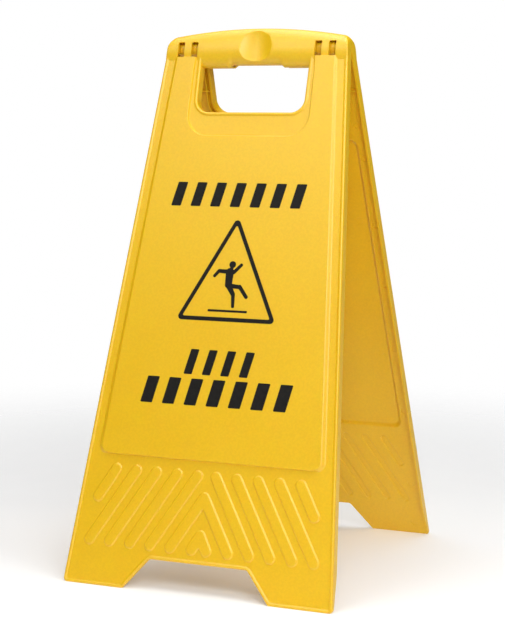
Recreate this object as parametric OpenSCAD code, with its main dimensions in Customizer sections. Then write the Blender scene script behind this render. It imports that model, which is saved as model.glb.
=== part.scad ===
// Folding wet floor sign: two moulded plastic panels hinged at the grip.
// Millimetres. The sign stands on z = 0 with its hinge line along X.
// A panel is drawn in its own plane: x across, y up the panel from the
// hinge line (so the feet are at negative y), z outward from the hinge line.

/* [Overall] */
// Width across the feet
foot_width = 305; // [240:1:360]
// Width of a panel at the hinge line
top_width = 210.9; // [150:0.1:280]
// Hinge line to the foot, measured along the panel
panel_length = 593.5; // [400:0.5:800]
// Lean of each panel from upright, in degrees
lean = 16.2; // [8:0.1:25]

/* [Panel section] */
// Depth of the border face from the hinge plane
face_depth = 11; // [8:0.5:20]
// Wall thickness
wall = 2.4; // [1.8:0.1:4]
// Height of the raised middle field
pad_height = 2.6; // [0.5:0.1:4]
// Width of the rim bead
bead_width = 2.4; // [1:0.1:5]
// Height of the rim bead
bead_height = 1; // [0.3:0.1:2]
// Gap between each panel's inner rim and the hinge plane
rim_gap = 0.3; // [0.2:0.05:1]

/* [Feet] */
// Half width of the notch between the feet, at the floor
notch_half_low = 82.6; // [50:0.1:110]
// Half width of the notch at its top
notch_half_high = 55.6; // [30:0.1:90]
// Height of the notch, along the panel
notch_height = 33.4; // [15:0.1:60]
// Corner radius of the feet
foot_radius = 4.5; // [1:0.5:15]
// Length over which the side walls run out towards the feet
runout_length = 50; // [20:1:120]

/* [Raised field] */
// Distance of its lower edge from the hinge line
pad_bottom = 452; // [300:1:540]
// Margin to the panel's side edge
pad_margin = 13.5; // [8:0.5:30]
// Radius of its lower corners
pad_radius = 7; // [1:0.5:20]
// Half width of the recess round the hand opening
yoke_half = 69.3; // [64:0.1:80]
// Lower end of that recess from the hinge line
yoke_bottom = 100; // [80:1:140]
// Radius of the recess corners
yoke_radius = 23; // [5:1:40]

/* [Hand opening and grip] */
// Half width of the hand opening
open_half = 62.2; // [45:0.1:75]
// Lower edge of the hand opening from the hinge line
open_bottom = 74.2; // [60:0.1:110]
// Corner radius of the hand opening
open_radius = 15; // [4:0.5:25]
// Lower lip of the grip from the hinge line
grip_low = 21.4; // [15:0.1:30]
// Depth of the grip from the hinge plane
grip_depth = 13.6; // [10:0.1:18]
// Height of the grip above the hinge line, at its middle
grip_rise = 22.3; // [15:0.1:35]
// Radius of the arch along the grip
arch_radius = 600; // [300:10:2000]
// Radius of the grip's outer corners
ear_radius = 9; // [2:0.5:14]
// Height of the finger relief in the lower lip
relief_height = 3; // [0:0.5:6]
// Half width of the relief
relief_half = 27; // [10:1:50]
// Half length of the thumb dish, along the grip
dish_half = 19.1; // [12:0.1:22]
// Depth of the thumb dish at its middle
dish_depth = 5.15; // [1:0.05:6]
// Radius of the dish's floor across the grip
dish_across = 113.6; // [60:0.1:300]

/* [Hinge] */
// Distance of each strap from the middle
strap_x = 80.2; // [60:0.1:95]
// Width of a strap
strap_width = 8; // [4:0.5:16]
// Width of the slot on each side of a strap
slot_width = 8; // [4:0.5:16]
// Upper end of the slots above the hinge line
slot_top = 5; // [0:0.5:10]
// Lower end of the slots below the hinge line
slot_low = 12; // [6:0.5:20]
// Hinge pin radius
pin_radius = 3; // [2:0.25:5]
// Bore clearance in the front webs
web_clearance = 0.02; // [0.01:0.01:0.1]
// Bore clearance in the rear knuckles
knuckle_clearance = 0.08; // [0.02:0.01:0.1]
// Knuckle radius
knuckle_radius = 8.5; // [5:0.25:10]
// Knuckle width
knuckle_width = 16; // [8:0.5:20]

/* [Tread bars and printing] */
// Width of a tread bar
bar_width = 13; // [4:0.5:16]
// Height of a tread bar
bar_height = 1; // [0.3:0.1:2]
// Thickness of the printed film
film = 0.3; // [0.1:0.05:0.6]

/* [Node] */
// Sub-part to show

/* [Hidden] */
$fn = 64;
yellow = [0.95, 0.75, 0.15];
black = [0.08, 0.07, 0.06];
L = panel_length;
// The feet are cut level; the cut just clears the lower edge of the outer face.
hinge_height = (L - 0.3) * cos(lean) - face_depth * sin(lean);
slope = (foot_width - top_width) / 2 / L;
pad_face = face_depth + pad_height;
web_x = [strap_x - knuckle_width / 2 - 5.6, strap_x + knuckle_width / 2 + 5.8];
web_thick = 2.8;

// Half width of the panel at distance v below the hinge line
function half_width(v) = top_width / 2 + slope * v;
function unit(v) = v / norm(v);

// Corner B between A and C, rounded with n steps
function corner(A, B, C, r, n = 6) =
    let (a = unit(A - B), c = unit(C - B), t = acos(a * c) / 2)
    let (P = B + a * r / tan(t), Q = B + c * r / tan(t), O = B + unit(a + c) * r / sin(t))
    let (s = atan2(P[1] - O[1], P[0] - O[0]), e = atan2(Q[1] - O[1], Q[0] - O[0]))
    let (d = (e - s + 540) % 360 - 180)
    [for (i = [0:n]) O + r * [cos(s + d * i / n), sin(s + d * i / n)]];

// Closed outline from [x, y, radius] points
function rounded(p) =
    let (k = len(p))
    [for (i = [0:k - 1])
        let (A = p[(i + k - 1) % k], B = p[i], C = p[(i + 1) % k])
        each (B[2] > 0.05
            ? corner([A[0], A[1]], [B[0], B[1]], [C[0], C[1]], B[2])
            : [[B[0], B[1]]])];

// The same outline moved inward by d; points run counter-clockwise
function inset(p, d) =
    let (k = len(p))
    [for (i = [0:k - 1])
        let (A = p[(i + k - 1) % k], B = p[i], C = p[(i + 1) % k])
        let (e = unit([B[0] - A[0], B[1] - A[1]]), f = unit([C[0] - B[0], C[1] - B[1]]))
        let (n = [-e[1], e[0]], m = [-f[1], f[0]])
        let (turn = e[0] * f[1] - e[1] * f[0], q = (n + m) / (1 + n * m))
        [B[0] + q[0] * d, B[1] + q[1] * d,
         B[2] == 0 ? 0 : max(0, turn > 0 ? B[2] - d : B[2] + d)]];

function bezier(a, b, c, d, n = 6) =
    [for (i = [0:n]) let (t = i / n, s = 1 - t)
        s * s * s * a + 3 * s * s * t * b + 3 * s * t * t * c + t * t * t * d];

// Outline of a panel below the grip
function panel_outline(top = -12) = [
    [-notch_half_low, -L, 3], [-notch_half_high, -L + notch_height, 5],
    [-half_width(L), -L, foot_radius],
    [-half_width(-top), top, 0], [half_width(-top), top, 0],
    [half_width(L), -L, foot_radius],
    [notch_half_low, -L, 3], [notch_half_high, -L + notch_height, 5]];

// Counter-clockwise order of the same points
function outline(top = -12) = let (q = panel_outline(top))
    [q[4], q[3], q[2], q[0], q[1], q[7], q[6], q[5]];

// Outline of the hollow, which is open at the foot
function tray_outline() = [
    [half_width(6), -6, 0], [-half_width(6), -6, 0],
    [-half_width(L + 12), -L - 12, 0], [half_width(L + 12), -L - 12, 0]];

function opening_outline(grow = 0) = [
    [open_half + grow + 1.2, 40, 0], [-open_half - grow - 1.2, 40, 0],
    [-open_half - grow, -open_bottom - grow, open_radius + grow],
    [open_half + grow, -open_bottom - grow, open_radius + grow]];

function pad_outline() = [
    [half_width(slot_low) - pad_margin, -slot_low, 0],
    [-half_width(slot_low) + pad_margin, -slot_low, 0],
    [-half_width(pad_bottom) + pad_margin, -pad_bottom, pad_radius],
    [half_width(pad_bottom) - pad_margin, -pad_bottom, pad_radius]];

function yoke_outline() = [
    [yoke_half - 4, 0, 0], [-yoke_half + 4, 0, 0],
    [-yoke_half + 4, -slot_low, 0], [-yoke_half, -22, 0],
    [-yoke_half, -yoke_bottom, yoke_radius],
    [yoke_half, -yoke_bottom, yoke_radius],
    [yoke_half, -22, 0], [yoke_half - 4, -slot_low, 0]];

// Place a shape drawn in the panel's own plane on the standing sign
module front() translate([0, 0, hinge_height]) rotate([90 - lean, 0, 0]) children();
module rear() rotate([0, 0, 180]) front() children();

module slab(z0, z1) translate([0, 0, z0]) linear_extrude(height = z1 - z0) children();

// Section of the grip half, [depth, up]; the parting faces are cut later
function grip_section() = concat(
    [[-8, -grip_low], [3, -grip_low]],
    bezier([4, -grip_low], [9, -grip_low], [grip_depth, -17], [grip_depth, -8]),
    bezier([grip_depth, 2], [grip_depth, 12], [12, 19.7], [6.2, 21.5]),
    [[-8, 25.6]]);

function grip_hollow() = concat(
    [[-9, -grip_low + wall], [3, -grip_low + wall]],
    bezier([4, -grip_low + wall], [8, -grip_low + wall], [grip_depth - wall, -15], [grip_depth - wall, -8]),
    bezier([grip_depth - wall, 2], [grip_depth - wall, 10], [10, 17.4], [5.2, 19.3]),
    [[-9, 23.4]]);

// Front view of the grip, wider or narrower by d
function arch(x, d) = sqrt((arch_radius - d) * (arch_radius - d) - x * x) + grip_rise - arch_radius;
function grip_front(d = 0) =
    let (w = half_width(0) - d, e = 84)
    rounded(concat(
        [[-w - 1.6, -24, 0], [w + 1.6, -24, 0], [w - 1, 12.5 - d, ear_radius - d]],
        [for (i = [6:-1:-6]) [e * i / 6, arch(e * i / 6, d), 0]],
        [[-w + 1, 12.5 - d, ear_radius - d]]));

module along_x(points, half) rotate([90, 0, 90]) translate([0, 0, -half])
    linear_extrude(height = 2 * half) polygon([for (p = points) [-p[0], p[1]]]);

module grip(points, half, d) intersection() {
    translate([0, 0, hinge_height]) rotate([-lean, 0, 0]) along_x(points, half);
    translate([0, 30, hinge_height]) rotate([90, 0, 0]) linear_extrude(height = 60) polygon(grip_front(d));
}

// Everything a half must stay clear of: past the middle plane above the
// hinge line, and past its own hinge plane below it
module other_side() {
    translate([-200, -rim_gap / 2, hinge_height - 3]) cube([400, 60, 60]);
    front() translate([-200, -700, -60]) cube([400, 700.5, 60 + rim_gap]);
}

module tread_bar(x, y, dx, dy) {
    a = atan2(dy, dx);
    n = norm([dx, dy]);
    h = bar_width / 2;
    translate([x, y]) rotate(a) polygon(rounded([
        [-5.6, -h, h - 0.1], [n + 5.6, -h, h - 0.1], [n + 5.6, h, h - 0.1], [-5.6, h, h - 0.1]]));
}

module treads() {
    for (x = [10, 33.4, 57.4, 81], s = [-1, 1]) tread_bar(s * x, -468, s * 46.6, -78.5);
    for (s = [-1, 1]) tread_bar(s * 104.6, -468, s * 18.6, -32.2);
    for (s = [-1, 1]) tread_bar(0, -491, s * 33.2, -55.5);
    for (s = [-1, 1]) tread_bar(0, -531, s * 8.7, -15.5);
}

// One panel moulding, without its hinge parts
module shell() {
    difference() {
        union() {
            difference() {
                union() {
                    front() slab(0, face_depth) polygon(rounded(outline()));
                    front() slab(face_depth - 0.5, face_depth + bead_height) difference() {
                        polygon(rounded(outline(-16.5)));
                        polygon(concat(rounded(inset(outline(-10), bead_width))));
                    }
                    front() slab(face_depth - 0.5, face_depth + bead_height) difference() {
                        intersection() {
                            polygon(rounded(opening_outline(bead_width)));
                            translate([-80, -120]) square([160, 105]);
                        }
                        polygon(rounded(opening_outline(0)));
                    }
                    front() slab(face_depth - 0.5, pad_face) difference() {
                        polygon(rounded(pad_outline()));
                        polygon(rounded(yoke_outline()));
                    }
                    front() slab(face_depth - 0.5, face_depth + bar_height) treads();
                }
                front() slab(-20, 40) polygon(rounded(opening_outline()));
            }
            grip(grip_section(), 120, 0);
        }
        // hollow of the panel
        front() slab(-5, face_depth - wall) difference() {
            polygon(rounded(inset(tray_outline(), wall)));
            polygon(rounded(opening_outline(wall)));
        }
        runout();
        // hollow behind the raised field
        front() slab(face_depth - wall - 1, pad_face - wall) difference() {
            polygon(rounded(inset(pad_outline(), 1.4)));
            polygon(rounded([[yoke_half + 1.4, 40, 0], [-yoke_half - 1.4, 40, 0],
                [-yoke_half - 1.4, -yoke_bottom - 1.4, yoke_radius], [yoke_half + 1.4, -yoke_bottom - 1.4, yoke_radius]]));
        }
        difference() {
            grip(grip_hollow(), half_width(0) - wall, wall);
            dish(wall);
        }
        other_side();
        // the feet are cut level
        translate([-300, -400, -60]) cube([600, 800, 60]);
        // finger relief in the lower lip
        front() slab(-10, 40) polygon([[-relief_half - 4, -grip_low - 1], [relief_half + 4, -grip_low - 1],
            [relief_half + 4, -grip_low], [relief_half, -grip_low + relief_height], [-relief_half, -grip_low + relief_height],
            [-relief_half - 4, -grip_low]]);
    }
    relief_lip();
    ribs();
}

// Wedge that takes the side walls down to the thickness of the sheet
module runout() front() rotate([90, 0, 90]) translate([0, 0, -200]) linear_extrude(height = 400) polygon(concat(
    [for (i = [0:8]) [-L + 2.5 + runout_length * (1 - i / 8), -1 + (face_depth - wall + 0.95) * pow(i / 8, 1.35)]],
    [[-L - 20, face_depth - wall], [-L - 20, -6], [-L + 2.5 + runout_length, -6]]));

// The lip follows the relief
module relief_lip() intersection() {
    grip(grip_section(), relief_half + 6, 0);
    difference() {
        front() slab(rim_gap, 11) polygon([[-relief_half - 5, -grip_low + wall], [-relief_half - 4, -grip_low],
            [-relief_half, -grip_low + relief_height], [relief_half, -grip_low + relief_height],
            [relief_half + 4, -grip_low], [relief_half + 5, -grip_low + wall],
            [relief_half, -grip_low + relief_height + wall], [-relief_half, -grip_low + relief_height + wall]]);
        other_side();
    }
}

// Stiffening ribs across each side of the hand opening and along it
module ribs() front() for (s = [-1, 1]) {
    slab(3, face_depth - 1) polygon([for (p = [[open_half + 1, -49], [half_width(48) - 1, -49],
        [half_width(48) - 1, -47.2], [open_half + 1, -47.2]]) [s * p[0], p[1]]]);
    slab(4, face_depth - 1) polygon([for (p = [[open_half + 9, -24], [open_half + 10.8, -24],
        [open_half + 10.8, -96], [open_half + 9, -96]]) [s * p[0], p[1]]]);
}

module across(x0, x1, r) translate([x0, 0, hinge_height]) rotate([0, 90, 0]) cylinder(h = x1 - x0, r = r);

module front_panel() color(yellow) difference() {
    union() {
        difference() {
            shell();
            for (s = [-1, 1], t = [-1, 1]) front() translate([s * strap_x + t * (strap_width + slot_width) / 2 - slot_width / 2, -slot_low, 7])
                cube([slot_width, slot_low + slot_top, 20]);
            dish();
        }
        for (s = [-1, 1], x = web_x) {
            across(s * x - web_thick / 2, s * x + web_thick / 2, 6.5);
            front() translate([s * x - web_thick / 2, -6, 0]) cube([web_thick, 12, grip_depth - 1]);
        }
    }
    across(-120 + 20, 100, pin_radius + web_clearance);
}

module rear_panel() color(yellow) difference() {
    union() {
        rotate([0, 0, 180]) difference() {
            shell();
            dish();
        }
        for (s = [-1, 1]) {
            across(s * strap_x - knuckle_width / 2, s * strap_x + knuckle_width / 2, knuckle_radius);
            across(s * strap_x - knuckle_width / 2 - 3.8, s * strap_x + knuckle_width / 2 + 3.8, 5.5);
            rear() translate([s * strap_x - knuckle_width / 2, -8, 0]) cube([knuckle_width, 16, grip_depth - 2.4]);
        }
    }
    across(-100, 100, pin_radius + knuckle_clearance);
}

// Thumb dish in the middle of the grip, part of a ring, grown by d
dish_along = (dish_half * dish_half + dish_depth * dish_depth) / 2 / dish_depth;
module dish(d = 0) front() translate([0, -2.65, grip_depth - dish_depth + dish_across])
    rotate([0, 90, 0]) rotate_extrude($fn = 128) translate([dish_across - dish_along, 0]) circle(r = dish_along + d, $fn = 96);

module hinge_pin(s) color([0.75, 0.76, 0.78])
    across(s * strap_x - 16, s * strap_x + 16, pin_radius);
module hinge_pin_left() hinge_pin(-1);
module hinge_pin_right() hinge_pin(1);

// Slanted blocks standing in a row between -half and half
module blocks(half, top, bottom, n) {
    pitch = (2 * half + 6) / n;
    for (i = [0:n - 1]) translate([-half + i * pitch, 0])
        polygon([[0, -bottom], [pitch - 12, -bottom], [pitch - 6, -top], [6, -top]]);
}

module upper_legend() slab(pad_face, pad_face + film) blocks(77.5, 153.5, 180, 7);
module lower_legend() slab(pad_face, pad_face + film) {
    blocks(39.5, 335.5, 362.5, 4);
    blocks(86, 367, 395.5, 7);
}

module limb(a, b, w0, w1) {
    n = unit([a[1] - b[1], b[0] - a[0]]) / 2;
    polygon([a + n * w0, a - n * w0, b - n * w1, b + n * w1]);
}

module pictogram() slab(pad_face, pad_face + film) {
    tri = [[58.6, -304.3, 4], [3, -189.5, 4], [-56, -304.3, 4]];
    difference() {
        polygon(rounded(tri));
        polygon(rounded([for (q = inset(tri, 4.4)) [q[0], q[1], 1.2]]));
    }
    translate([-20, -294.2]) square([45, 2.4]);
    // figure losing its footing
    translate([2.8, -242.7]) circle(r = 3.8);
    limb([2.6, -244], [1.4, -250], 3.6, 6);
    limb([-4.6, -250.4], [5.6, -250.8], 4.8, 4.8);
    limb([0.6, -249.4], [0.4, -266], 9.6, 7.6);
    limb([-3.8, -250.5], [-12, -250], 4.6, 4);
    limb([-11.4, -249.4], [-17, -256], 4, 3.4);
    limb([4.8, -251.4], [13.4, -242.3], 4.2, 3.4);
    limb([0.2, -264.5], [7.2, -275.4], 7, 4.6);
    limb([6.9, -273.6], [8.1, -288.4], 4.6, 3.4);
    limb([1.6, -265.6], [14.6, -266.7], 5.2, 4.2);
    limb([13, -265.6], [22.6, -277.6], 4.4, 4);
}

module front_upper_legend() color(black) front() upper_legend();
module front_pictogram() color(black) front() pictogram();
module front_lower_legend() color(black) front() lower_legend();
module rear_upper_legend() color(black) rear() upper_legend();
module rear_pictogram() color(black) rear() pictogram();
module rear_lower_legend() color(black) rear() lower_legend();

front_panel();
rear_panel();
hinge_pin_left();
hinge_pin_right();
front_upper_legend();
front_pictogram();
front_lower_legend();
rear_upper_legend();
rear_pictogram();
rear_lower_legend();
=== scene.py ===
# Folding wet floor sign: two moulded panels hinged in a split carry grip.
import math

import bmesh
import bpy
import numpy as np
from mathutils import Matrix, Vector
from mathutils.geometry import delaunay_2d_cdt


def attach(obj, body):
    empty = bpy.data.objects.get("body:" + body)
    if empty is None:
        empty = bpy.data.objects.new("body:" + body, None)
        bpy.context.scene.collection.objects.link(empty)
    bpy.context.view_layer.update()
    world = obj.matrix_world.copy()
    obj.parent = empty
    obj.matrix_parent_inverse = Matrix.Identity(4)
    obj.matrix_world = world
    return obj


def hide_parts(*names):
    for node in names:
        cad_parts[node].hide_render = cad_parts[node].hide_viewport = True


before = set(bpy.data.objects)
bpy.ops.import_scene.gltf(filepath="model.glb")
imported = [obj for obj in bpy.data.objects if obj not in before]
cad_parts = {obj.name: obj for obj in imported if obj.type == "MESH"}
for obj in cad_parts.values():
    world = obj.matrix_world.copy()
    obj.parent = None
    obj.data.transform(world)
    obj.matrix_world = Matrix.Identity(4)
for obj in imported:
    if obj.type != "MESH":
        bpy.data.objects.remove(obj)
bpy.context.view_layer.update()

# ---------------------------------------------------------------- dimensions
# Millimetres in the panel's own plane: u across, p up the panel from the
# hinge line (feet at negative p), w outward from the hinge line.
LEAN = math.radians(16.2)
SN, CS = math.sin(LEAN), math.cos(LEAN)
LEN = 593.5
HINGE = (LEN - 0.3) * CS - 11 * SN
FACE, PAD, WALL, RIM = 11.0, 13.6, 2.4, 0.3
OPEN_HALF, OPEN_LOW = 62.2, 74.2
GRIP_D, GRIP_G, GRIP_T = 13.6, 21.4, 22.3
STRAP = 80.2


def hw(v):
    return 105.45 + (152.5 - 105.45) / LEN * v


FRONT = Matrix.Translation((0, 0, HINGE)) @ Matrix.Rotation(math.pi / 2 - LEAN, 4, "X")
REAR = Matrix.Rotation(math.pi, 4, "Z") @ FRONT
TO_M = Matrix.Scale(0.001, 4)


# ---------------------------------------------------------------- outlines
def outline(points):
    """Closed outline from (x, y, radius, steps), rounded, with every corner keeping its count of points."""
    out, k = [], len(points)
    for i in range(k):
        A, B, C = (np.array(points[j % k][:2], float) for j in (i - 1, i, i + 1))
        r, n = max(points[i][2], 0.02), points[i][3]
        a, c = (A - B) / np.linalg.norm(A - B), (C - B) / np.linalg.norm(C - B)
        t = math.acos(max(-1, min(1, float(a @ c)))) / 2
        P, Q = B + a * r / math.tan(t), B + c * r / math.tan(t)
        O = B + (a + c) / np.linalg.norm(a + c) * r / math.sin(t)
        s, e = math.atan2(*(P - O)[::-1]), math.atan2(*(Q - O)[::-1])
        d = (e - s + 3 * math.pi) % (2 * math.pi) - math.pi
        out += [O + r * np.array([math.cos(s + d * j / n), math.sin(s + d * j / n)]) for j in range(n + 1)]
    return [tuple(q) for q in out]


def inset(points, d):
    """The control points moved inward; d is one distance or one per edge (edge i runs from point i to i + 1)."""
    k, out = len(points), []
    ds = [d] * k if np.isscalar(d) else list(d)
    for i in range(k):
        A, B, C = (np.array(points[j % k][:2], float) for j in (i - 1, i, i + 1))
        e, f = (B - A) / np.linalg.norm(B - A), (C - B) / np.linalg.norm(C - B)
        n, m = np.array([-e[1], e[0]]), np.array([-f[1], f[0]])
        q = np.linalg.solve(np.array([n, m]), np.array([ds[i - 1], ds[i]]))
        turn = e[0] * f[1] - e[1] * f[0]
        r, mean = points[i][2], (ds[i - 1] + ds[i]) / 2
        out.append((B[0] + q[0], B[1] + q[1], max(0.02, r - mean if turn > 0 else r + mean), points[i][3]))
    return out


BODY = [(-hw(LEN), -LEN, 4.5, 8), (-82.6, -LEN, 3.2, 6), (-55.6, -LEN + 33.4, 5, 7), (55.6, -LEN + 33.4, 5, 7),
        (82.6, -LEN, 3.2, 6), (hw(LEN), -LEN, 4.5, 8), (hw(6), -6, 0.5, 2), (OPEN_HALF + 1.1, -6, 0.5, 2),
        (OPEN_HALF, -OPEN_LOW, 15, 16), (-OPEN_HALF, -OPEN_LOW, 15, 16), (-OPEN_HALF - 1.1, -6, 0.5, 2), (-hw(6), -6, 0.5, 2)]
RAISED = [(-hw(453.8) + 11.2, -453.8, 9, 8), (hw(453.8) - 11.2, -453.8, 9, 8), (hw(11.0) - 11.6, -11.0, 0.6, 2), (68.3, -11.0, 0.4, 2),
          (69.3, -26, 8, 4), (69.3, -100, 23, 16), (-69.3, -100, 23, 16), (-69.3, -26, 8, 4), (-68.3, -11.0, 0.4, 2),
          (-hw(11.0) + 11.6, -11.0, 0.6, 2)]
CREST = inset(RAISED, [3.3, 0, 0.8, 1.8, 1.8, 1.8, 1.8, 1.8, 0.8, 0])
CREST[0] = (-hw(452.2) + 16.8, -452.2, 9, 8)
CREST[1] = (hw(452.2) - 16.8, -452.2, 9, 8)
CREST[2] = (hw(11.8) - 15.4, -11.8, 0.6, 2)
CREST[9] = (-hw(11.8) + 15.4, -11.8, 0.6, 2)
RECESS = [(-hw(453) + 12.6, -453, 8, 8), (hw(453) - 12.6, -453, 8, 8), (hw(103) - 12.6, -103, 10, 8), (-hw(103) + 12.6, -103, 10, 8)]
RECESS_IN = [(-hw(450) + 17.2, -450, 8, 8), (hw(450) - 17.2, -450, 8, 8), (hw(106) - 17.2, -106, 8, 8), (-hw(106) + 17.2, -106, 8, 8)]
# the tray is open below: the side walls run out towards the feet
TRAY = [(-hw(606), -606, 1, 2), (hw(606), -606, 1, 2)] + BODY[6:]


def between(a, b, t):
    return [tuple((1 - t) * p + t * q for p, q in zip(A[:3], B[:3])) + (A[3],) for A, B in zip(a, b)]


def bar(x, y, dx, dy, half=6.5, end=5.6):
    d = np.array([dx, dy]) / math.hypot(dx, dy)
    n = np.array([-d[1], d[0]])
    A, B = np.array([x, y]) - d * end, np.array([x + dx, y + dy]) + d * end
    return [(*(A - n * half), half - 0.02, 9), (*(B - n * half), half - 0.02, 9), (*(B + n * half), half - 0.02, 9), (*(A + n * half), half - 0.02, 9)]


def chevron(y, dx, dy, half=6.5, over=5.6):
    d = np.array([-dx, -dy]) / math.hypot(dx, dy)      # left leg, downwards
    n = np.array([d[1], -d[0]])                         # outward, to the upper left
    if n[0] > 0:
        n = -n
    s = dx / math.hypot(dx, dy)
    end = np.array([-dx, y - dy]) + d * over
    lo, li = end + n * half, end - n * half
    return [(0, y + half / s, 6.6, 10), (*lo, half - 0.02, 9), (*li, half - 0.02, 9), (0, y - half / s, 0.8, 5),
            (-li[0], li[1], half - 0.02, 9), (-lo[0], lo[1], half - 0.02, 9)]


BARS = [bar(s * x, -468, s * 46.6, -78.5) for x in (10, 33.4, 57.4, 81) for s in (-1, 1)]
BARS += [bar(s * 104.6, -468, s * 18.6, -32.2) for s in (-1, 1)]
BARS += [chevron(-491, 33.2, 55.5), chevron(-530.5, 8.7, 16)]


def circle(x, y, r, n=24):
    return [(x + r * math.cos(2 * math.pi * i / n), y + r * math.sin(2 * math.pi * i / n)) for i in range(n)]


# ---------------------------------------------------------------- mesh code
class Build:
    """Closed solids from stacked outlines, in the panel's plane."""

    def __init__(self, floor=None):
        self.v, self.f, self.floor = [], [], floor

    def loop(self, pts, w):
        i0 = len(self.v)
        for x, y in pts:
            if self.floor is not None:      # the feet are level: no point below this height
                y = max(y, (self.floor - HINGE - w * SN) / CS)
            self.v.append((x, y, w))
        return list(range(i0, len(self.v)))

    def ring(self, a, b):
        k = len(a)
        for i in range(k):
            j = (i + 1) % k
            self.f.append((a[i], a[j], b[j], b[i]))

    def stack(self, loops):
        idx = [self.loop(p, w) for p, w in loops]
        for a, b in zip(idx, idx[1:]):
            self.ring(a, b)
        return idx[0], idx[-1]

    def fill(self, outer, holes=()):
        """Triangles between an outer loop and holes, on the points that are already there."""
        ids, loops = [], []
        for lp in (outer, *holes):
            loops.append(list(range(len(ids), len(ids) + len(lp))))
            ids += lp
        co = [Vector(self.v[i][:2]) for i in ids]
        edges = [(lp[i], lp[(i + 1) % len(lp)]) for lp in loops for i in range(len(lp))]
        out, _, faces, orig, _, _ = delaunay_2d_cdt(co, edges, [], 0, 1e-7, True)
        back = [ids[o[0]] if o else None for o in orig]
        polys = [np.array([co[i] for i in lp]) for lp in loops]
        for face in faces:
            c = sum((out[i] for i in face), Vector((0, 0))) / len(face)
            inside = [in_poly(c, p) for p in polys]
            if inside[0] and not any(inside[1:]):
                tri = [back[i] for i in face]
                if None not in tri and len(set(tri)) == len(tri):
                    self.f.append(tuple(tri))

    def obj(self, name):
        return make(name, self.v, self.f)


def in_poly(c, poly):
    x, y = poly[:, 0], poly[:, 1]
    x2, y2 = np.roll(x, -1), np.roll(y, -1)
    hit = (y > c[1]) != (y2 > c[1])
    with np.errstate(divide="ignore", invalid="ignore"):
        xs = x + (c[1] - y) / (y2 - y) * (x2 - x)
    return bool(np.count_nonzero(hit & (c[0] < xs)) % 2)


def make(name, verts, faces):
    me = bpy.data.meshes.new(name)
    me.from_pydata([tuple(v) for v in verts], [], [tuple(f) for f in faces])
    bm = bmesh.new()
    bm.from_mesh(me)
    bmesh.ops.remove_doubles(bm, verts=bm.verts, dist=1e-4)
    bmesh.ops.recalc_face_normals(bm, faces=bm.faces)
    bm.to_mesh(me)
    bm.free()
    ob = bpy.data.objects.new(name, me)
    bpy.context.scene.collection.objects.link(ob)
    return ob


def combine(base, steps):
    """Adds ("UNION", obj) or cuts ("DIFFERENCE", obj) solids, and leaves one plain mesh."""
    for op, tool in steps:
        m = base.modifiers.new(op, "BOOLEAN")
        m.operation, m.object, m.solver = op, tool, "MANIFOLD"
    bpy.context.view_layer.update()
    dg = bpy.context.evaluated_depsgraph_get()
    me = bpy.data.meshes.new_from_object(base.evaluated_get(dg))
    base.modifiers.clear()
    old, base.data = base.data, me
    bpy.data.meshes.remove(old)
    for tool in {t for _, t in steps}:
        bpy.data.objects.remove(tool)
    return base


def extrude(name, pts, w0, w1):
    b = Build()
    lo, hi = b.stack([(pts, w0), (pts, w1)])
    b.fill(lo)
    b.fill(hi)
    return b.obj(name)


def box(name, lo, hi):
    pts = [(lo[0], lo[1]), (hi[0], lo[1]), (hi[0], hi[1]), (lo[0], hi[1])]
    return extrude(name, pts, lo[2], hi[2])


def rod(name, x0, x1, r, n=64, chamfer=0.0):
    """A round bar along u, about the hinge line."""
    prof = [(x0, r - chamfer), (x0 + chamfer, r), (x1 - chamfer, r), (x1, r - chamfer)] if chamfer else [(x0, r), (x1, r)]
    v, f = [], []
    for x, q in prof:
        v += [(x, q * math.cos(2 * math.pi * i / n), q * math.sin(2 * math.pi * i / n)) for i in range(n)]
    for k in range(len(prof) - 1):
        f += [(k * n + i, k * n + (i + 1) % n, (k + 1) * n + (i + 1) % n, (k + 1) * n + i) for i in range(n)]
    f += [tuple(range(n)), tuple(range((len(prof) - 1) * n, len(prof) * n))]
    return make(name, v, f)


def bezier(a, b, c, d, n):
    a, b, c, d = (np.array(q, float) for q in (a, b, c, d))
    return [tuple((1 - t) ** 3 * a + 3 * (1 - t) ** 2 * t * b + 3 * (1 - t) * t * t * c + t ** 3 * d) for t in np.linspace(0, 1, n + 1)]


# ---------------------------------------------------------------- the grip
ARCH = 600.0


def arch(x):
    return math.sqrt(ARCH * ARCH - x * x) + GRIP_T - ARCH


def grip_top(x):
    x, c = abs(x), 96.45
    if x <= c:
        return arch(x)
    return arch(c) - 9 + math.sqrt(max(0.0, 81 - (x - c) ** 2))


def grip_low(x):
    x = abs(x)
    return GRIP_G - 3.0 * min(1.0, max(0.0, (31.5 - x) / 4.0))


def yz(y, dz):
    """A point of the standing sign, as (p, w) in the front panel's plane."""
    return (y * SN + dz * CS, -y * CS + dz * SN)


def section(T, D, G, inner=False):
    """Section of the grip half as (p, w) points; all sections have the same count."""
    top = yz(-0.75, T)
    up = bezier((-2, D), (-2 + 0.60 * (top[0] + 2), D), (top[0] - SN * 0.52 * (D - top[1]), top[1] + CS * 0.52 * (D - top[1])), top, 16)
    low = bezier((-2, D), (-11, D), (-G, D - 3.4), (-G, 4.5), 14)
    if inner:
        far = [yz(3, T), yz(5, 0), (-G, -3)]
        return low[::-1] + up[1:] + far
    seam = [yz(-0.33, T - 0.18), yz(-0.15, T - 0.6), (0.49, RIM), (-G + 0.9, RIM), (-G + 0.26, RIM + 0.26), (-G, RIM + 0.9)]
    return low[::-1] + up[1:] + seam


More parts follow.
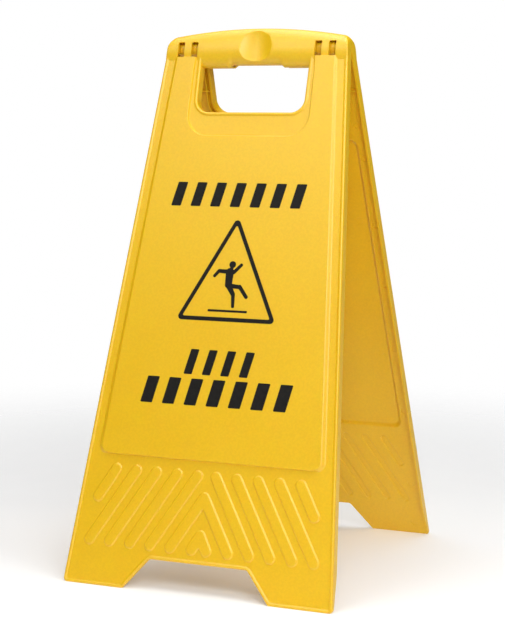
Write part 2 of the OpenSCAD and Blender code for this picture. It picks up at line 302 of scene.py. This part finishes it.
def loft_grip(name, half, cut, inner=False):
    xs = [0, 8, 16, 22, 26, 27, 27.5, 29.5, 31.5, 32, 36, 42, 50, 58, 66, 74, 82, 88, 92, 95, 96.45, 98, 99.6, 101, 102.2, 103.2]
    xs = [x for x in xs if x < half - 1.7]
    e = 1.5
    ends = [half - e + e * math.sin(a) for a in np.linspace(0, math.pi / 2, 6)]
    xs = sorted({-x for x in xs + ends} | set(xs + ends))
    v, f, k = [], [], 0
    for x in xs:
        t = max(0.0, (abs(x) - (half - e)) / e)
        d = e * (1 - math.sqrt(max(0.0, 1 - t * t)))
        s = section(grip_top(x) - cut - d * 0.4, GRIP_D - cut - d, grip_low(x) - cut, inner)
        k = len(s)
        v += [(x * hw(-p) / hw(0), p, w) for p, w in s]
    n = len(xs)
    for i in range(n - 1):
        f += [(i * k + j, i * k + (j + 1) % k, (i + 1) * k + (j + 1) % k, (i + 1) * k + j) for j in range(k)]
    f += [tuple(range(k)), tuple(range((n - 1) * k, n * k))]
    return make(name, v, f)


# ---------------------------------------------------------------- one panel
BEAD = [(0, RIM), (0, 9.9), (0.08, 10.5), (0.32, 11.1), (0.75, 11.6), (1.3, 11.9), (1.95, 12.0), (2.5, 11.93), (2.95, 11.72), (3.35, 11.42), (3.75, 11.16), (4.2, 11.03), (4.7, FACE)]
STEP = [(0, 0), (0.1, 0.03), (0.26, 0.16), (0.42, 0.38), (0.58, 0.63), (0.74, 0.85), (0.88, 0.965), (1, 1)]


def panel_body(name):
    b = Build(floor=0.0)
    rim, top = b.stack([(outline(inset(BODY, d)), w) for d, w in BEAD])
    b.fill(rim)
    holes = []
    foot, crest = b.stack([(outline(between(RAISED, CREST, t)), FACE + (PAD - FACE) * h) for t, h in STEP])
    holes.append(foot)
    b.fill(crest)
    for q in BARS:
        foot, crest = b.stack([(outline(inset(q, d)), FACE + h) for d, h in
                               [(0, 0), (0.2, 0.05), (0.5, 0.30), (0.9, 0.78), (1.25, 1.12), (1.6, 1.28), (2.1, 1.36), (4.4, 1.48)]])
        holes.append(foot)
        b.fill(crest)
    b.fill(top, holes)
    return b.obj(name)


def panel_hollow(name):
    b = Build()
    ceil = FACE - WALL - 1.2
    low, top = b.stack([(outline(inset(TRAY, d)), w) for d, w in [(2.15, -3), (2.2, RIM), (2.35, 5.6), (2.45, 6.6), (2.75, 7.15), (3.3, ceil)]])
    b.fill(low)
    holes = []
    foot, crest = b.stack([(outline(between(RECESS, RECESS_IN, t)), ceil + (PAD - FACE + 1.2) * h) for t, h in STEP])
    marks = []
    for s in (-1, 1):
        for v in (199, 359):
            a, c = b.stack([(circle(s * (hw(v) - 26), -v, r), PAD - WALL + h) for r, h in [(3.8, 0), (3.7, 0.15), (3.55, 0.55)]])
            marks.append(a)
            b.fill(c)
    b.fill(crest, marks)
    holes.append(foot)
    for q in BARS:
        foot, crest = b.stack([(outline(inset(q, 2.2 + d)), ceil + h) for d, h in [(0, 0), (0.3, 0.2), (0.6, 0.8), (0.9, 1.0)]])
        holes.append(foot)
        b.fill(crest)
    for s in (-1, 1):
        for v, m in ((87, 10.5), (124.6, 7.8), (202, 7.8), (273.4, 7.8), (352, 7.8), (430, 7.8), (526, 13.8), (578, 16.0)):
            a, c = b.stack([(circle(s * (hw(v) - m), -v, r), ceil + h) for r, h in [(3.8, 0), (3.7, 0.15), (3.55, 0.55)]])
            holes.append(a)
            b.fill(c)
    b.fill(top, holes)
    return b.obj(name)


def runout():
    """Wedge that takes the side walls down to the sheet's thickness at the feet."""
    t = np.linspace(0, 1, 14)
    line = [(-(541 + 50 * q), -1.0 + 8.35 * q ** 1.35) for q in t] + [(-612, 7.4), (-612, -6), (-541, -6)]
    v = [(x, p, w) for x in (-170, 170) for p, w in line]
    k = len(line)
    f = [tuple(range(k)), tuple(range(k, 2 * k))] + [(i, (i + 1) % k, k + (i + 1) % k, k + i) for i in range(k)]
    return make("runout", v, f)


def opening_line(grow):
    """Half of the U round the hand opening, at a distance."""
    return [(OPEN_HALF + grow, -22, 0.3, 1), (-OPEN_HALF - grow, -22, 0.3, 1),
            (-OPEN_HALF - grow, -OPEN_LOW - grow, 15 + grow, 14), (OPEN_HALF + grow, -OPEN_LOW - grow, 15 + grow, 14)]


def ribs():
    out = []
    # U-shaped rib that follows the hand opening
    outer, inner = outline(opening_line(9.6)), outline(opening_line(8.0))
    ring = extrude("rib_u", outer, 3.6, 9.6)
    combine(ring, [("DIFFERENCE", extrude("rib_u_in", inner, 3, 11)),
                   ("DIFFERENCE", box("rib_u_cut", (-65, -60, 2), (65, 0, 12)))])
    out.append(ring)
    for s in (-1, 1):
        for v in (48.0,):
            a, c = sorted((s * (OPEN_HALF + 1.2), s * (hw(v) - 1.2)))
            out.append(box("rib_h", (a, -v - 0.8, 3.6), (c, -v + 0.8, 9.6)))
    return out


def dish(r, lo, hi):
    """Thumb dish: a round hollow, longer in curve along the grip than across it. Gives the solid between two heights over its floor."""
    n, rings = 72, 10
    v, f = [], []

    def floor_at(x, y):
        return 8.5 + 0.01425 * x * x + 0.0044 * y * y + 0.03 * y

    for d in (lo, hi):
        base = len(v)
        v.append((0, 0.75, floor_at(0, 0) + d))
        for k in range(1, rings + 1):
            for i in range(n):
                a = 2 * math.pi * i / n
                x, y = r * k / rings * math.cos(a), r * 0.92 * k / rings * math.sin(a)
                v.append((x, 0.75 + y, floor_at(x, y) + d))
        f += [(base, base + 1 + i, base + 1 + (i + 1) % n) for i in range(n)]
        for k in range(rings - 1):
            o = base + 1 + k * n
            f += [(o + i, o + (i + 1) % n, o + n + (i + 1) % n, o + n + i) for i in range(n)]
    o, q = 1 + (rings - 1) * n, len(v) // 2 + 1 + (rings - 1) * n
    f += [(o + i, o + (i + 1) % n, q + (i + 1) % n, q + i) for i in range(n)]
    return make("dish", v, f)


def panel(name, front):
    base = panel_body(name)
    steps = [("UNION", loft_grip("grip", 105.45, 0.0)), ("DIFFERENCE", panel_hollow("hollow")),
             ("DIFFERENCE", loft_grip("grip_hollow", 103.05, WALL, True)), ("DIFFERENCE", runout()),
             ("UNION", dish(18.2, -2.3, 0.25))]
    combine(base, steps)
    steps = [("UNION", r) for r in ribs()]
    if front:
        for s in (-1, 1):
            for t in (-1, 1):
                c = s * STRAP + t * 8.0
                q = [(c - 4, -12, 0.9, 3), (c + 4, -12, 0.9, 3), (c + 4, 5, 0.9, 3), (c - 4, 5, 0.9, 3)]
                steps.append(("DIFFERENCE", extrude("slot", outline(q), 7, 20)))
        combine(base, steps)
        steps = []
        for s in (-1, 1):
            for x in (66.6, 94.0):
                a, c = sorted((s * x - 1.4, s * x + 1.4))
                steps += [("UNION", rod("boss", a, c, 6.5)), ("UNION", box("web", (a, -6, 0), (c, 6, 12.4)))]
        bore = 3.02
    else:
        combine(base, steps)
        steps = []
        for s in (-1, 1):
            c = s * STRAP
            steps += [("UNION", rod("knuckle", c - 8, c + 8, 8.5, 96, 0.5)), ("UNION", rod("bush", c - 11.8, c + 11.8, 7.6)),
                      ("UNION", box("arm", (c - 8, -8, 0), (c + 8, 8, 11.2)))]
        bore = 3.08
    steps += [("DIFFERENCE", dish(21.5, 0.0, 9.0)), ("DIFFERENCE", rod("bore", -100, 100, bore, 64))]
    combine(base, steps)
    return base


def finish_mesh(ob, matrix, angle=32.0):
    me = ob.data
    me.transform(TO_M @ matrix)
    bm = bmesh.new()
    bm.from_mesh(me)
    bmesh.ops.remove_doubles(bm, verts=bm.verts, dist=2e-6)
    bmesh.ops.dissolve_degenerate(bm, edges=bm.edges, dist=1e-6)
    for e in bm.edges:
        if len(e.link_faces) == 2:
            e.smooth = e.calc_face_angle(0.0) < math.radians(angle)
    for f in bm.faces:
        f.smooth = True
    bm.to_mesh(me)
    bm.free()
    m = ob.modifiers.new("weighted", "WEIGHTED_NORMAL")
    m.keep_sharp, m.mode, m.weight, m.thresh = True, "FACE_AREA", 90, 0.01
    return ob


# ---------------------------------------------------------------- printing
def blocks(half, top, bottom, n, lean=6.0, gap=5.6):
    pitch = (2 * half + gap) / n
    out = []
    for i in range(n):
        x = -half + i * pitch
        w = pitch - gap - lean
        out.append([(x, -bottom, 1.0, 4), (x + w, -bottom, 1.0, 4), (x + w + lean, -top, 1.0, 4), (x + lean, -top, 1.0, 4)])
    return out


def limb(a, b, w0, w1):
    a, b = np.array(a, float), np.array(b, float)
    d = (b - a) / np.linalg.norm(b - a)
    n = np.array([-d[1], d[0]])
    A, B = a - d * w0 * 0.3, b + d * w1 * 0.3
    return [(*(A - n * w0 / 2), w0 * 0.45, 5), (*(B - n * w1 / 2), w1 * 0.45, 5), (*(B + n * w1 / 2), w1 * 0.45, 5), (*(A + n * w0 / 2), w0 * 0.45, 5)]


LIMBS = [((2.6, -243.4), (1.7, -252), 4, 4.4), ((-4.6, -250.4), (5.6, -250.8), 4.8, 4.8), ((0.6, -249.4), (0.4, -266), 9.6, 7.6),
         ((-3.8, -250.5), (-12, -250), 4.6, 4), ((-11.4, -249.4), (-17, -256), 4, 3.4), ((4.8, -251.4), (13.4, -242.3), 4.2, 3.4),
         ((0.2, -264.5), (7.2, -275.4), 7, 4.6), ((6.9, -273.6), (8.1, -288.4), 4.6, 3.4), ((1.6, -265.6), (14.6, -266.7), 5.2, 4.2),
         ((13, -265.6), (22.6, -277.6), 4.4, 4)]
INK0, INK1 = PAD - 0.04, PAD + 0.08


def print_rows(name, rows):
    b = Build()
    for row in rows:
        for q in blocks(*row):
            lo, hi = b.stack([(outline(q), INK0), (outline(q), INK1)])
            b.fill(lo)
            b.fill(hi)
    return b.obj(name)


def pictogram(name):
    tri = [(58.6, -304.3, 4, 8), (3, -189.5, 4, 8), (-56, -304.3, 4, 8)]
    b = Build()
    a0, a1 = b.stack([(outline(tri), INK0), (outline(tri), INK1)])
    t2 = inset(tri, 4.4)
    t2 = [(x, y, 1.2, n) for x, y, _, n in t2]
    c0, c1 = b.stack([(outline(t2), INK0), (outline(t2), INK1)])
    b.fill(a0, [c0])
    b.fill(a1, [c1])
    ob = b.obj(name)
    steps = [("UNION", extrude("ground", outline([(-20, -294.2, 0.6, 3), (25, -294.2, 0.6, 3), (25, -291.8, 0.6, 3), (-20, -291.8, 0.6, 3)]), INK0, INK1)),
             ("UNION", extrude("head", circle(2.8, -242.7, 3.8, 40), INK0, INK1))]
    steps += [("UNION", extrude("limb", outline(limb(*q)), INK0, INK1)) for q in LIMBS]
    return combine(ob, steps)


# ---------------------------------------------------------------- materials
def nodes_of(name):
    m = bpy.data.materials.new(name)
    m.use_nodes = True
    nt = m.node_tree
    nt.nodes.clear()
    out = nt.nodes.new("ShaderNodeOutputMaterial")
    bsdf = nt.nodes.new("ShaderNodeBsdfPrincipled")
    nt.links.new(bsdf.outputs[0], out.inputs[0])
    return m, nt, bsdf


def noise(nt, scale, detail=3.0, rough=0.55, coord=None, stretch=(1, 1, 1)):
    tc = nt.nodes.new("ShaderNodeTexCoord")
    mp = nt.nodes.new("ShaderNodeMapping")
    mp.inputs["Scale"].default_value = stretch
    nt.links.new(tc.outputs["Object"], mp.inputs[0])
    n = nt.nodes.new("ShaderNodeTexNoise")
    n.inputs["Scale"].default_value, n.inputs["Detail"].default_value, n.inputs["Roughness"].default_value = scale, detail, rough
    nt.links.new(mp.outputs[0], n.inputs["Vector"])
    return n


def ramp(nt, src, stops):
    r = nt.nodes.new("ShaderNodeValToRGB")
    cr = r.color_ramp
    while len(cr.elements) < len(stops):
        cr.elements.new(0.5)
    for e, (p, c) in zip(cr.elements, stops):
        e.position, e.color = p, (*c, 1) if len(c) == 3 else c
    nt.links.new(src, r.inputs[0])
    return r


def yellow_plastic():
    m, nt, bs = nodes_of("moulded_yellow_plastic")
    L = nt.links.new
    cloud = noise(nt, 5.0, 4.0, 0.6)
    base = ramp(nt, cloud.outputs["Fac"], [(0.30, (0.86, 0.522, 0.003)), (0.70, (0.89, 0.552, 0.005))])
    speck = noise(nt, 420.0, 2.0, 0.5)
    sr = ramp(nt, speck.outputs["Fac"], [(0.40, (0.955, 0.95, 0.94)), (0.62, (1.0, 1.0, 1.0))])
    mix = nt.nodes.new("ShaderNodeMix")
    mix.data_type, mix.blend_type = "RGBA", "MULTIPLY"
    mix.inputs["Factor"].default_value = 1.0
    L(base.outputs[0], mix.inputs["A"])
    L(sr.outputs[0], mix.inputs["B"])
    L(mix.outputs["Result"], bs.inputs["Base Color"])
    rn = noise(nt, 38.0, 5.0, 0.6)
    rr = nt.nodes.new("ShaderNodeMapRange")
    rr.inputs["To Min"].default_value, rr.inputs["To Max"].default_value = 0.36, 0.46
    L(rn.outputs["Fac"], rr.inputs["Value"])
    L(rr.outputs[0], bs.inputs["Roughness"])
    grain = noise(nt, 900.0, 3.0, 0.5)
    wave = noise(nt, 16.0, 2.0, 0.4)
    b1 = nt.nodes.new("ShaderNodeBump")
    b1.inputs["Strength"].default_value, b1.inputs["Distance"].default_value = 0.10, 0.0004
    b2 = nt.nodes.new("ShaderNodeBump")
    b2.inputs["Strength"].default_value, b2.inputs["Distance"].default_value = 0.05, 0.0012
    L(grain.outputs["Fac"], b1.inputs["Height"])
    L(wave.outputs["Fac"], b2.inputs["Height"])
    L(b1.outputs[0], b2.inputs["Normal"])
    L(b2.outputs[0], bs.inputs["Normal"])
    bs.inputs["IOR"].default_value = 1.49
    bs.inputs["Specular IOR Level"].default_value = 0.85
    bs.inputs["Subsurface Weight"].default_value = 0.25
    bs.inputs["Subsurface Radius"].default_value = (0.005, 0.0018, 0.0003)
    bs.inputs["Subsurface Scale"].default_value = 1.0
    return m


def ink():
    m, nt, bs = nodes_of("printed_black_ink")
    L = nt.links.new
    n = noise(nt, 260.0, 4.0, 0.6)
    r = ramp(nt, n.outputs["Fac"], [(0.30, (0.006, 0.0055, 0.005)), (0.75, (0.014, 0.012, 0.010))])
    L(r.outputs[0], bs.inputs["Base Color"])
    rr = nt.nodes.new("ShaderNodeMapRange")
    rr.inputs["To Min"].default_value, rr.inputs["To Max"].default_value = 0.5, 0.66
    L(n.outputs["Fac"], rr.inputs["Value"])
    L(rr.outputs[0], bs.inputs["Roughness"])
    bs.inputs["Specular IOR Level"].default_value = 0.22
    return m


def steel():
    m, nt, bs = nodes_of("bright_pin_steel")
    L = nt.links.new
    n = noise(nt, 300.0, 3.0, 0.6, stretch=(0.05, 1, 1))
    r = ramp(nt, n.outputs["Fac"], [(0.3, (0.52, 0.53, 0.55)), (0.7, (0.66, 0.67, 0.69))])
    L(r.outputs[0], bs.inputs["Base Color"])
    rr = nt.nodes.new("ShaderNodeMapRange")
    rr.inputs["To Min"].default_value, rr.inputs["To Max"].default_value = 0.22, 0.38
    L(n.outputs["Fac"], rr.inputs["Value"])
    L(rr.outputs[0], bs.inputs["Roughness"])
    bs.inputs["Metallic"].default_value = 1.0
    return m


YELLOW, INK, STEEL = yellow_plastic(), ink(), steel()


def place(ob, matrix, mat, body, node, smooth=32.0):
    finish_mesh(ob, matrix, smooth)
    ob.data.materials.clear()
    ob.data.materials.append(mat)
    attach(ob, body)
    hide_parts(node)
    return ob


# ---------------------------------------------------------------- the sign
place(panel("front_moulding", True), FRONT, YELLOW, "front", "front_panel")
place(panel("rear_moulding", False), REAR, YELLOW, "rear", "rear_panel")
for side, M in (("front", FRONT), ("rear", REAR)):
    place(print_rows(side + "_upper_print", [(77.5, 153.5, 180, 7)]), M, INK, side, side + "_upper_legend")
    place(print_rows(side + "_lower_print", [(39.5, 335.5, 362.5, 4), (86, 367, 395.5, 7)]), M, INK, side, side + "_lower_legend")
    place(pictogram(side + "_pictogram_print"), M, INK, side, side + "_pictogram")
for side, s in (("left", -1), ("right", 1)):
    pin = rod("pin_" + side, s * STRAP - 16, s * STRAP + 16, 3.0, 64, 0.5)
    place(pin, Matrix.Translation((0, 0, HINGE)), STEEL, "front", "hinge_pin_" + side)

# ---------------------------------------------------------------- studio
AMBIENT, GROUND = 0.0, 0.40
LAMPS = [("key_softbox", (0.85, -1.40, 1.30), (0, 0, 0.33), (0.9, 0.8), 16),
         ("front_softbox", (-0.55, -1.35, 1.60), (0, 0, 0.50), (0.9, 0.5), 5.6),
         ("top_softbox", (-0.1, 0.2, 2.5), (0, 0, 0.3), (2.0, 1.6), 35),
         ("sheen_softbox", (-0.2, -0.45, 1.8), (0, 0, 0.5), (1.0, 0.6), 3.2),
         ("right_softbox", (1.3, -0.4, 1.6), (0, 0, 0.4), (0.8, 0.8), 10),
         ("low_softbox", (0.9, -1.8, 0.35), (0, 0, 0.25), (0.8, 0.6), 3)]
n = 96
v = [(0, 0, 0)] + [(r * math.cos(2 * math.pi * i / n), r * math.sin(2 * math.pi * i / n), 0) for r in (1.0, 3.0) for i in range(n)]
f = [(0, 1 + i, 1 + (i + 1) % n) for i in range(n)] + [(1 + i, 1 + n + i, 1 + n + (i + 1) % n, 1 + (i + 1) % n) for i in range(n)]
me = bpy.data.meshes.new("floor")
me.from_pydata(v, [], f)
floor = bpy.data.objects.new("floor", me)
bpy.context.scene.collection.objects.link(floor)
fm, fnt, fbs = nodes_of("pale_floor")
fn = noise(fnt, 3.0, 2.0, 0.5)
fr = ramp(fnt, fn.outputs["Fac"], [(0.3, (0.86, 0.86, 0.86)), (0.7, (0.875, 0.875, 0.875))])
fnt.links.new(fr.outputs[0], fbs.inputs["Base Color"])
fbs.inputs["Roughness"].default_value = 0.7
fbs.inputs["Specular IOR Level"].default_value = 0.2
fbs.inputs["Emission Color"].default_value = (1, 1, 1, 1)
fbs.inputs["Emission Strength"].default_value = 0.16
ftc = fnt.nodes.new("ShaderNodeTexCoord")
fl = fnt.nodes.new("ShaderNodeVectorMath")
fl.operation = "LENGTH"
fnt.links.new(ftc.outputs["Object"], fl.inputs[0])
fade = fnt.nodes.new("ShaderNodeMapRange")
fade.interpolation_type = "SMOOTHSTEP"
fade.inputs["From Min"].default_value, fade.inputs["From Max"].default_value = 0.35, 1.3
fade.inputs["To Min"].default_value, fade.inputs["To Max"].default_value = 1.0, 0.0
fnt.links.new(fl.outputs["Value"], fade.inputs["Value"])
fnt.links.new(fade.outputs[0], fbs.inputs["Alpha"])
floor.data.materials.append(fm)

# soft room light above, a bright ground below, and plain white behind the sign
world = bpy.data.worlds.new("studio")
bpy.context.scene.world = world
world.use_nodes = True
wn = world.node_tree
bg = wn.nodes["Background"]
bg.inputs[0].default_value = (1, 1, 1, 1)
wt = wn.nodes.new("ShaderNodeTexCoord")
ws = wn.nodes.new("ShaderNodeSeparateXYZ")
wz = wn.nodes.new("ShaderNodeMapRange")
wz.inputs["From Min"].default_value, wz.inputs["From Max"].default_value = -0.06, 0.03
wz.inputs["To Min"].default_value, wz.inputs["To Max"].default_value = GROUND, AMBIENT
wn.links.new(wt.outputs["Generated"], ws.inputs[0])
wn.links.new(ws.outputs["Z"], wz.inputs["Value"])
lp = wn.nodes.new("ShaderNodeLightPath")
mr = wn.nodes.new("ShaderNodeMapRange")
mr.inputs["To Max"].default_value = 1.0
wn.links.new(wz.outputs[0], mr.inputs["To Min"])
wn.links.new(lp.outputs["Is Camera Ray"], mr.inputs["Value"])
wn.links.new(mr.outputs[0], bg.inputs[1])


def area(name, loc, target, size, power, color=(1, 1, 1)):
    l = bpy.data.lights.new(name, "AREA")
    l.shape, l.size, l.size_y, l.energy, l.color = "RECTANGLE", size[0], size[1], power, color
    o = bpy.data.objects.new(name, l)
    o.location = loc
    o.rotation_euler = (Vector(target) - Vector(loc)).to_track_quat("-Z", "Y").to_euler()
    o.visible_camera = False
    bpy.context.scene.collection.objects.link(o)
    return o


for lamp in LAMPS:
    area(*lamp)

az, el, roll = math.radians(22.09), math.radians(6.9), math.radians(0.335)
back = Vector((math.sin(az) * math.cos(el), -math.cos(az) * math.cos(el), math.sin(el)))
right = Vector((math.cos(az), math.sin(az), 0))
up = right.cross(-back)
right2, up2 = right * math.cos(roll) + up * math.sin(roll), -right * math.sin(roll) + up * math.cos(roll)
target = Vector((-6.464 * math.cos(az), -6.464 * math.sin(az), 269.02)) / 1000
cam = bpy.data.cameras.new("camera")
cam.lens, cam.sensor_width, cam.sensor_fit = 1628.6 * 36 / 640, 36, "AUTO"
cam.clip_end = 100
co = bpy.data.objects.new("camera", cam)
pos = target + back * 1.8135
co.matrix_world = Matrix(((right2.x, up2.x, back.x, pos.x), (right2.y, up2.y, back.y, pos.y), (right2.z, up2.z, back.z, pos.z), (0, 0, 0, 1)))
bpy.context.scene.collection.objects.link(co)
bpy.context.scene.camera = co
bpy.context.scene.view_settings.view_transform = "Standard"
